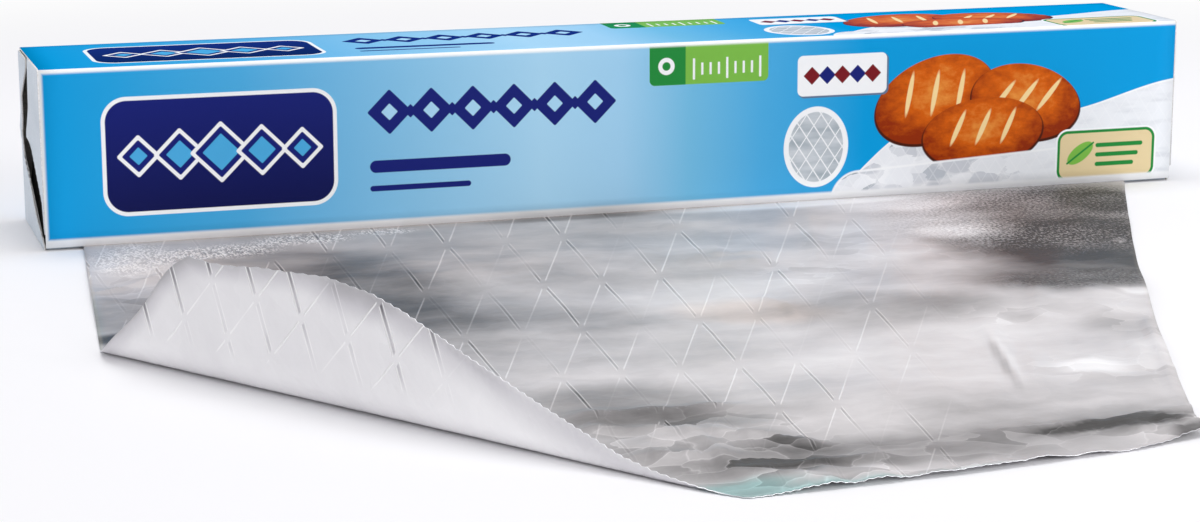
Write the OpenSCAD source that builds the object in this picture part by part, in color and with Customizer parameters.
// Kitchen foil in its cutter box: a folded card tray with a hinged lid, a roll of embossed
// aluminium foil on a card tube, and the sheet drawn out under the lid's front flap.
// The origin is the centre of the carton's bottom face. +X runs along the carton, -Y to its front.

/* [Carton] */
// Length of the carton
carton_l = 470; // [466:1:480]
// Depth of the carton, front to back
carton_d = 64; // [62:1:70]
// Height of the closed carton
carton_h = 68; // [66:1:74]
// Thickness of the card
card_t = 0.7; // [0.5:0.1:0.8]
// Radius of the folded edges
crease_r = 1.2; // [1:0.1:2]
// Height of the tray's front wall, inside the lid
front_wall_h = 54; // [50:1:58]
// Height of the inner flaps that close the ends
inner_flap_h = 40; // [36:1:56]
// Width of the torn slit between the lid's end tabs and the tray's
slit_w = 2.4; // [1.5:0.1:4]
// Width of the same slit at its knee, where the tabs have sprung apart
slit_knee_w = 6; // [3:0.5:8]
// Height of the nibs left along the torn perforation
nib_h = 0.8; // [0:0.1:1.2]

/* [Cutter] */
// Height of the steel cutter strip
cutter_h = 9; // [6:0.5:12]
// Thickness of the cutter strip
cutter_t = 0.25; // [0.2:0.05:0.3]
// Distance from tooth to tooth
tooth_pitch = 4; // [3:0.5:8]
// Depth of a tooth
tooth_h = 2; // [1:0.25:3]

/* [Roll] */
// Width of the foil
foil_w = 450; // [430:1:456]
// Outer diameter of the roll
roll_od = 42; // [40:0.5:46]
// Outer diameter of the card tube
core_od = 38; // [30:0.5:39]
// Wall thickness of the card tube
core_wall = 1.5; // [1:0.25:3]
// Number of turns that show as rings on the ends of the roll
ring_count = 4; // [2:1:6]

/* [Sheet] */
// Thickness of the sheet
foil_t = 0.4; // [0.3:0.05:0.5]
// Number of embossed diamonds across the sheet
diamonds_across = 18; // [16:1:24]
// Length of one embossed diamond along the sheet
diamond_h = 144; // [120:8:160]
// Height of the quilting between the embossed lines
quilt_h = 0.5; // [0.2:0.1:0.8]
// Radius of the curl at the foot of the flap that stands up at the front left corner
curl_r = 9; // [6:0.5:12]
// Lean of the flap back over the sheet, in degrees
flap_lean = 5; // [0:1:12]
// Height of the loose waves in the sheet
wave_h = 4; // [0:0.5:6]

/* [Hidden] */

front_y = -carton_d / 2;
back_y = carton_d / 2;
gap = 0.4;

// Height of the lid's front flap above the table, where the sheet comes out
lid_lift = 1.6;

// The layers behind the lid's front flap, from the outside in: the foil, the cutter, the tray's wall
web_t = foil_t * 0.75;
web_y = front_y + card_t + gap + web_t / 2;
cutter_y = web_y + web_t / 2 + gap;
wall_y = cutter_y + cutter_t;

roll_r = roll_od / 2;
roll_c = [-6, card_t + roll_r + 0.05];
fit_gap = 0.05;

// Outline of the sheet as it lies flat: corners at the carton, the torn corner, the toothed edge
sheet_rear_y = front_y + 0.4;
left_rear = [-221, -36];
left_fold = [-236, -192];
right_rear = [216, -26.5];
right_front = [46, -384];
right_bow = 5;
// The front edge as pairs: share of the width from the left, and y
front_edge = [
    [0, -252], [0.01, -261], [0.042, -277.3], [0.098, -302], [0.141, -316], [0.174, -324.3], [0.221, -334.4], [0.291, -348.2],
    [0.354, -359.7], [0.421, -372], [0.452, -379.1], [0.5, -391.2], [0.54, -400], [0.75, -397], [0.93, -391], [1, -384]
];
edge_tooth = 0.8;

// The line on which the front left corner curls up. The curl closes down over the last part of it, and
// it starts a little behind the line, so that its outside meets the table there as seen from the front.
fold_a = left_fold;
fold_b = [-106, -389];
curl_end_r = 2.5;
curl_taper = [150, 236];
curl_setback = 0.27;

// Loose waves: x, y, half length, half width, share of wave_h
waves = [[70, -215, 110, 52, 1], [-75, -120, 130, 48, 0.8], [-25, -325, 70, 40, 0.6], [120, -105, 70, 45, 0.6]];

columns = 44;
row_step = 7.2;

function unit(v) = v / norm(v);
function left_of(v) = [-v[1], v[0]];
function lerp(a, b, f) = a + (b - a) * f;
function clamp(f) = min(1, max(0, f));
function smooth(f) = let (c = clamp(f)) c * c * (3 - 2 * c);

// Points of an arc that rounds corner b between a and c
function fillet(a, b, c, r, n = 5) =
    let (
        u = unit(a - b),
        w = unit(c - b),
        half = acos(u * w) / 2,
        centre = b + unit(u + w) * r / sin(half),
        from = b + u * r / tan(half) - centre,
        to = b + w * r / tan(half) - centre,
        start = atan2(from[1], from[0]),
        swing = atan2(to[1], to[0]) - start,
        turn = swing > 180 ? swing - 360 : swing < -180 ? swing + 360 : swing
    )
    [for (i = [0:n]) centre + r * [cos(start + turn * i / n), sin(start + turn * i / n)]];

// An open path with its inner corners rounded
function rounded_path(p, r) = [
    p[0],
    for (i = [1:len(p) - 2]) each fillet(p[i - 1], p[i], p[i + 1], r[i - 1]),
    p[len(p) - 1]
];

// A closed outline with its corners rounded, where r is 0 the corner stays sharp
function rounded_outline(p, r) = [
    for (i = [0:len(p) - 1])
        each r[i] == 0 ? [p[i]] : fillet(p[(i + len(p) - 1) % len(p)], p[i], p[(i + 1) % len(p)], r[i])
];

// The outline of a strip of thickness t along a path
function step_dir(p, i) = unit(p[min(i + 1, len(p) - 1)] - p[min(i, len(p) - 2)]);
function side_point(p, i, d) =
    let (ahead = step_dir(p, i), behind = step_dir(p, max(i - 1, 0)), mean = unit(ahead + behind))
    p[i] + left_of(mean) * d / (mean * ahead);
function strip(p, t) = [
    for (i = [0:len(p) - 1]) side_point(p, i, t / 2),
    for (i = [len(p) - 1:-1:0]) side_point(p, i, -t / 2)
];

// A straight torn edge from a to b with nibs of card standing out of it
function torn_edge(a, b, height, pitch = 4) =
    let (n = floor(norm(b - a) / pitch), out = left_of(unit(b - a)))
    [for (i = [1:n - 1]) each [
        lerp(a, b, (i - 0.2) / n),
        lerp(a, b, i / n) + out * height,
        lerp(a, b, (i + 0.2) / n)
    ]];

// Extrudes an outline given as (y, z) points along X
module along_x(x0, x1) {
    translate([x0, 0, 0]) rotate([90, 0, 90]) linear_extrude(x1 - x0) children();
}

module both_ends(x0, x1) {
    along_x(x0, x1) children();
    along_x(-x1, -x0) children();
}

// Where the front tabs and the back tabs of the ends part, from the top down to the front corner
slit_top = [2, carton_h];
slit_knee = [20, 35];
slit_foot = [front_y, 4];
slit_side = unit([1, 0.5]) * slit_knee_w / 2;
gape_front = [-3, 50];
gape_back = [16, 52];

// Card tray: back, bottom and front wall in one folded strip, with the back tabs and the inner flaps
module carton_tray() {
    tray_top = carton_h - card_t - gap;
    wall_mid = wall_y + card_t / 2;
    back_mid = back_y - card_t / 2;
    walls = rounded_path(
        [[back_mid, tray_top], [back_mid, card_t / 2], [wall_mid, card_t / 2], [wall_mid, front_wall_h]],
        [crease_r, crease_r]);
    floor_and_back = rounded_path(
        [[back_mid, tray_top], [back_mid, card_t / 2], [wall_y + crease_r, card_t / 2]],
        [crease_r]);
    knee = slit_knee + slit_side;
    foot = [wall_y, slit_foot[1] - slit_w];
    tab_top = [slit_top[0] + slit_w / 2, tray_top];
    back_edge = rounded_path([[wall_y, 0], [back_y, 0], [back_y, tray_top], tab_top, gape_back, knee, foot],
                             [crease_r + card_t / 2, 0.3, 3, 6, 2]);
    back_tab = concat(
        [for (i = [0:len(back_edge) - 2]) back_edge[i]],
        torn_edge(knee, foot, -nib_h),
        [foot]);
    inner_flap = rounded_outline(
        [[wall_y + card_t + gap, card_t / 2], [wall_y + card_t + gap, inner_flap_h - 8], [wall_y + 10, inner_flap_h],
         [back_y - 10, inner_flap_h], [back_y - card_t - gap, inner_flap_h - 8], [back_y - card_t - gap, card_t / 2]],
        [0, 4, 4, 4, 4, 0]);
    end_x = carton_l / 2;
    color([0.85, 0.88, 0.92]) {
        along_x(-end_x + card_t + gap, end_x - card_t - gap) polygon(strip(walls, card_t));
        along_x(-end_x, end_x) polygon(strip(floor_and_back, card_t));
        both_ends(end_x - card_t, end_x) polygon(back_tab);
        both_ends(end_x - 3 * card_t, end_x - 2 * card_t) polygon(inner_flap);
    }
}

// Card lid: top panel and full front flap, with a front tab at each end, torn free of the tray
module carton_lid() {
    panel = rounded_path(
        [[back_y, carton_h - card_t / 2], [front_y + card_t / 2, carton_h - card_t / 2], [front_y + card_t / 2, lid_lift]],
        [crease_r]);
    knee = slit_knee - slit_side;
    foot = slit_foot + [0, slit_w];
    front_tab = concat(
        rounded_outline([foot, [front_y, carton_h], slit_top - [slit_w / 2, 0], gape_front, knee],
                        [0, crease_r + card_t / 2, 0, 6, 2]),
        torn_edge(knee, foot, nib_h));
    end_x = carton_l / 2;
    color([0.35, 0.70, 0.90]) {
        along_x(-end_x, end_x) polygon(strip(panel, card_t));
        both_ends(end_x - card_t, end_x) polygon(front_tab);
    }
}

// Steel cutter strip: a thin band along the foot of the tray's front wall with teeth that point down
module cutter_strip() {
    teeth = floor((foil_w - 8) / tooth_pitch);
    half_l = teeth * tooth_pitch / 2;
    foot_z = 3;
    outline = concat(
        [[half_l, foot_z + cutter_h], [-half_l, foot_z + cutter_h], [-half_l, foot_z + tooth_h]],
        [for (i = [0:teeth - 1]) each [
            [-half_l + (i + 0.5) * tooth_pitch, foot_z],
            [-half_l + (i + 1) * tooth_pitch, foot_z + tooth_h]
        ]]);
    color([0.75, 0.76, 0.78])
        translate([0, wall_y, 0]) rotate([90, 0, 0]) linear_extrude(cutter_t) polygon(outline);
}

// Card tube in the middle of the roll
module core_tube() {
    half_l = foil_w / 2 + 1;
    color([0.72, 0.60, 0.46])
        translate([-half_l, roll_c[0], roll_c[1]]) rotate([0, 90, 0]) difference() {
            cylinder(h = 2 * half_l, d = core_od, $fn = 48);
            translate([0, 0, -1]) cylinder(h = 2 * half_l + 2, d = core_od - 2 * core_wall, $fn = 48);
        }
}

// The wound foil, whose turns show as rings on both ends
module wound_roll() {
    inner_r = core_od / 2 + fit_gap;
    ring_w = (roll_r - inner_r) / ring_count;
    ring_depth = 0.6;
    end_rings = [for (i = [0:ring_count - 1]) each [
        [inner_r + i * ring_w, foil_w / 2 - ring_depth],
        [inner_r + (i + 0.5) * ring_w, foil_w / 2]
    ]];
    half = concat(end_rings, [[roll_r, foil_w / 2 - ring_depth]]);
    mirrored = [for (i = [len(half) - 1:-1:0]) [half[i][0], -half[i][1]]];
    translate([0, roll_c[0], roll_c[1]]) rotate([0, 90, 0])
        rotate_extrude($fn = 48) polygon(concat(half, mirrored));
}

// The foil between the roll and the sheet: over the front wall, down behind the lid's flap and out below it
module foil_web() {
    over = [web_y, front_wall_h + 1.1];
    reach = over - roll_c;
    hold_r = roll_r - web_t;
    leave = atan2(reach[1], reach[0]) - acos(hold_r / norm(reach));
    path = rounded_path(
        [roll_c + hold_r * [cos(leave), sin(leave)], over, [web_y, foil_t / 2], [front_y - 0.3, foil_t / 2]],
        [1, 1.2]);
    along_x(-foil_w / 2 + 1, foil_w / 2 - 1) polygon(strip(path, web_t));
}

// Left and right edges of the flat sheet at a given y
function left_x(y) = lerp(left_rear[0], left_fold[0], (left_rear[1] - y) / (left_rear[1] - left_fold[1]));
function right_share(y) = (right_rear[1] - y) / (right_rear[1] - right_front[1]);
function right_x(y) = lerp(right_rear[0], right_front[0], right_share(y)) - right_bow * sin(180 * clamp(right_share(y)));

// y of the front edge in column i, with its teeth
function front_y_at(i) = lookup(i / columns, front_edge) + (i % 2 == 0 ? edge_tooth : 0);
function last_row(i) = round((sheet_rear_y - front_y_at(i)) / row_step);
function flat_y(i, k) = k >= last_row(i) ? front_y_at(i) : sheet_rear_y - k * row_step;
function flat_point(i, k) = let (y = flat_y(i, k)) [lerp(left_x(y), right_x(y), i / columns), y];

// The quilting between embossed lines, which run along whole numbers of s and t
function quilt(i, y) =
    let (across = i / columns * diamonds_across, down = (sheet_rear_y - y) / diamond_h, s = across + down, t = across - down)
    quilt_h * abs(sin(180 * s)) * abs(sin(180 * t)) * smooth((sheet_rear_y - y - 4) / 20);

function wave(p, w) =
    let (far = norm([(p[0] - w[0]) / w[2], (p[1] - w[1]) / w[3]]))
    far >= 1 ? 0 : wave_h * w[4] * (0.5 + 0.5 * cos(180 * far));
function waves_at(p, n = 0) = n == len(waves) ? 0 : wave(p, waves[n]) + waves_at(p, n + 1);

// Lifts a flat point, d above the sheet's underside, and curls it up where it lies beyond the fold
fold_dir = unit(fold_b - fold_a);
fold_out = -left_of(fold_dir) * sign((left_of(fold_dir) * [1, 1]));
function formed(p, d) =
    let (
        along = (p - fold_a) * fold_dir,
        r = lerp(curl_r, curl_end_r, smooth((along - curl_taper[0]) / (curl_taper[1] - curl_taper[0]))),
        beyond = (p - fold_a) * fold_out + r * curl_setback,
        turn = min(90 + flap_lean, beyond / r * 180 / PI),
        straight = max(0, beyond - r * (90 + flap_lean) * PI / 180),
        base = p - fold_out * beyond,
        out = r * sin(turn) + straight * cos(turn) - d * sin(turn),
        up = r * (1 - cos(turn)) + straight * sin(turn) + d * cos(turn)
    )
    beyond <= 0 ? [p[0], p[1], waves_at(p) + d] : [base[0] + fold_out[0] * out, base[1] + fold_out[1] * out, up];

// The sheet: columns of points from the carton to the front edge, on the underside and on the top
module drawn_sheet() {
    starts = [for (i = 0, n = 0; i <= columns; n = n + last_row(i) + 1, i = i + 1) n];
    count = starts[columns] + last_row(columns) + 1;
    under = [for (i = [0:columns], k = [0:last_row(i)]) formed(flat_point(i, k), quilt(i, flat_y(i, k)))];
    top = [for (i = [0:columns], k = [0:last_row(i)]) formed(flat_point(i, k), quilt(i, flat_y(i, k)) + foil_t)];
    function at(i, k) = starts[i] + min(k, last_row(i));
    cells = [
        for (i = [0:columns - 1], k = [0:max(last_row(i), last_row(i + 1)) - 1])
            each [
                [at(i, k), at(i + 1, k), at(i + 1, k + 1)],
                [at(i, k), at(i + 1, k + 1), at(i, k + 1)]
            ]
    ];
    faces = [for (f = cells) if (f[0] != f[1] && f[1] != f[2] && f[2] != f[0]) f];
    rim = concat(
        [for (i = [0:columns]) at(i, 0)],
        [for (k = [1:last_row(columns)]) at(columns, k)],
        [for (i = [columns - 1:-1:0]) at(i, last_row(i))],
        [for (k = [last_row(0) - 1:-1:1]) at(0, k)]);
    walls = [
        for (n = [0:len(rim) - 1])
            let (a = rim[n], b = rim[(n + 1) % len(rim)])
            each [[a, a + count, b + count], [a, b + count, b]]
    ];
    polyhedron(
        points = concat(under, top),
        faces = concat(
            [for (f = faces) [f[2], f[1], f[0]]],
            [for (f = faces) [f[0] + count, f[1] + count, f[2] + count]],
            walls),
        convexity = 6);
}

module foil() {
    color([0.78, 0.78, 0.80]) {
        wound_roll();
        foil_web();
        drawn_sheet();
    }
}

carton_tray();
carton_lid();
cutter_strip();
foil();
core_tube();
